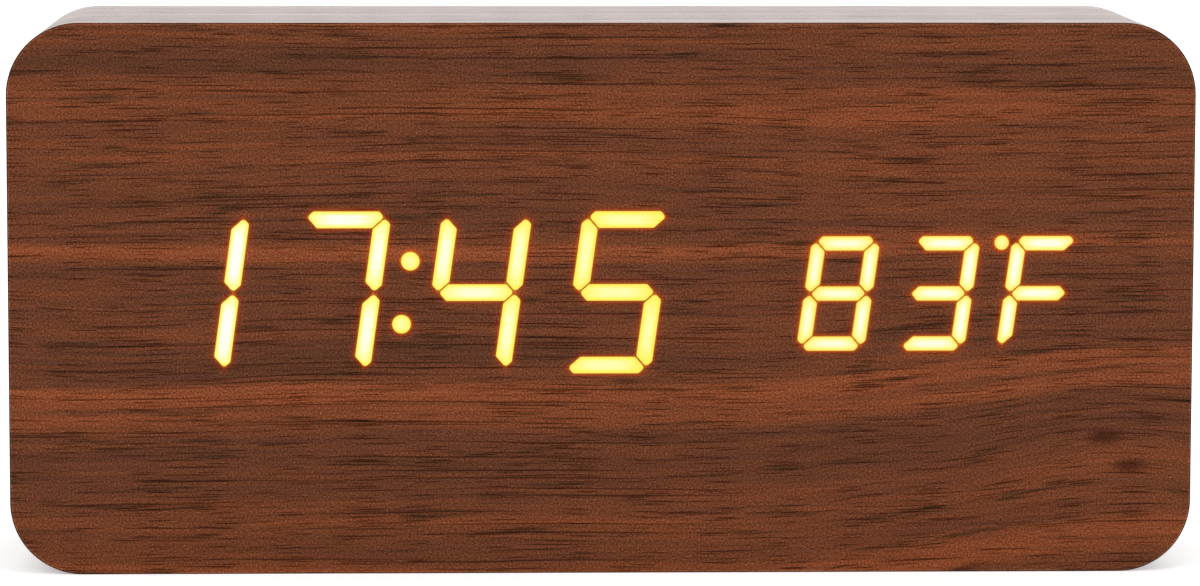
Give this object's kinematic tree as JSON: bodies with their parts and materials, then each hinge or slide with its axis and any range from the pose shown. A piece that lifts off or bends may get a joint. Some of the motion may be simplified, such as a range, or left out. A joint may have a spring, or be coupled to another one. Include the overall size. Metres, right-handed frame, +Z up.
{
  "type": "digital alarm clock",
  "caption": "Rounded wooden block clock whose lit time and temperature digits shine through the veneer, with push buttons, a USB inlet and a hinged battery door at the back.",
  "frame": {"origin": "middle of the base, on the surface that the clock stands on", "axes": "+X to the right of the face, +Y from the face to the back, +Z up"},
  "size_m": [0.15, 0.04, 0.07],
  "materials": {
    "fibreboard": "raw milled board",
    "lit_veneer": "satin foil with a fine printed grain, thin enough for light to pass",
    "veneer": "satin foil with a fine printed grain",
    "cover_plastic": "fine moulded texture",
    "black_screw": "black oxide",
    "reflector": "matt dark face",
    "lit_lens": "milky lens, lit from behind",
    "dark_lens": "milky lens, unlit",
    "led": "yellow phosphor",
    "circuit_board": "green solder mask",
    "zinc_screw": "zinc plated",
    "chip_plastic": "moulded epoxy",
    "tinned": "tin plated",
    "resistor": "black glaze",
    "capacitor_sleeve": "shrunk sleeve",
    "part_plastic": "moulded",
    "coin_steel": "stainless",
    "connector": "ivory nylon",
    "ribbon": "grey PVC",
    "plunger_plastic": "moulded",
    "button_plastic": "smooth",
    "boot_rubber": "soft rubber",
    "bead": "dipped epoxy bead",
    "cell_can": "printed foil wrap",
    "contact": "nickel plated",
    "red_wire": "PVC",
    "black_wire": "PVC"
  },
  "bodies": {
    "clock": {"wood_case": "fibreboard", "front_veneer": "lit_veneer", "edge_veneer": "veneer", "back_cover": "cover_plastic", "cover_screws": "black_screw", "time_reflector": "reflector", "temperature_reflector": "reflector", "lit_segments": "lit_lens", "dark_segments": "dark_lens", "led_chips": "led", "main_board": "circuit_board", "main_board_screws": "zinc_screw", "controller_chip": "chip_plastic", "display_driver": "chip_plastic", "clock_chip": "chip_plastic", "chip_legs": "tinned", "crystal": "tinned", "chip_resistors": "resistor", "filter_capacitors": "capacitor_sleeve", "coin_cell_holder": "part_plastic", "coin_cell": "coin_steel", "main_header": "connector", "ribbon_cable": "ribbon", "button_header": "connector", "button_board": "circuit_board", "button_board_screws": "zinc_screw", "switch_bodies": "part_plastic", "usb_socket": "tinned", "usb_tongue": "part_plastic", "buzzer": "part_plastic", "microphone": "tinned", "microphone_boot": "boot_rubber", "thermistor": "bead", "battery_cells": "cell_can", "contact_plates": "contact", "battery_springs": "contact", "positive_lead": "red_wire", "negative_lead": "black_wire"},
    "battery_door": {"battery_door": "cover_plastic", "door_latch": "cover_plastic"},
    "set_button": {"set_button": "button_plastic", "set_plunger": "plunger_plastic"},
    "up_button": {"up_button": "button_plastic", "up_plunger": "plunger_plastic"},
    "down_button": {"down_button": "button_plastic", "down_plunger": "plunger_plastic"}
  },
  "joints": [
    {"name": "set_button_press", "type": "slide", "parent": "clock", "child": "set_button", "axis": [0, -1, 0], "range_m": [0, 0.0005], "stiffness_N_per_m": 3000},
    {"name": "up_button_press", "type": "slide", "parent": "clock", "child": "up_button", "axis": [0, -1, 0], "range_m": [0, 0.0005], "stiffness_N_per_m": 3000},
    {"name": "down_button_press", "type": "slide", "parent": "clock", "child": "down_button", "axis": [0, -1, 0], "range_m": [0, 0.0005], "stiffness_N_per_m": 3000},
    {"name": "battery_door_hinge", "type": "hinge", "parent": "clock", "child": "battery_door", "pos_m": [-0.0621, 0.0185, 0.035], "axis": [0, 0, 1], "range_deg": [0, 60], "deforming": ["door_latch"]}
  ]
}
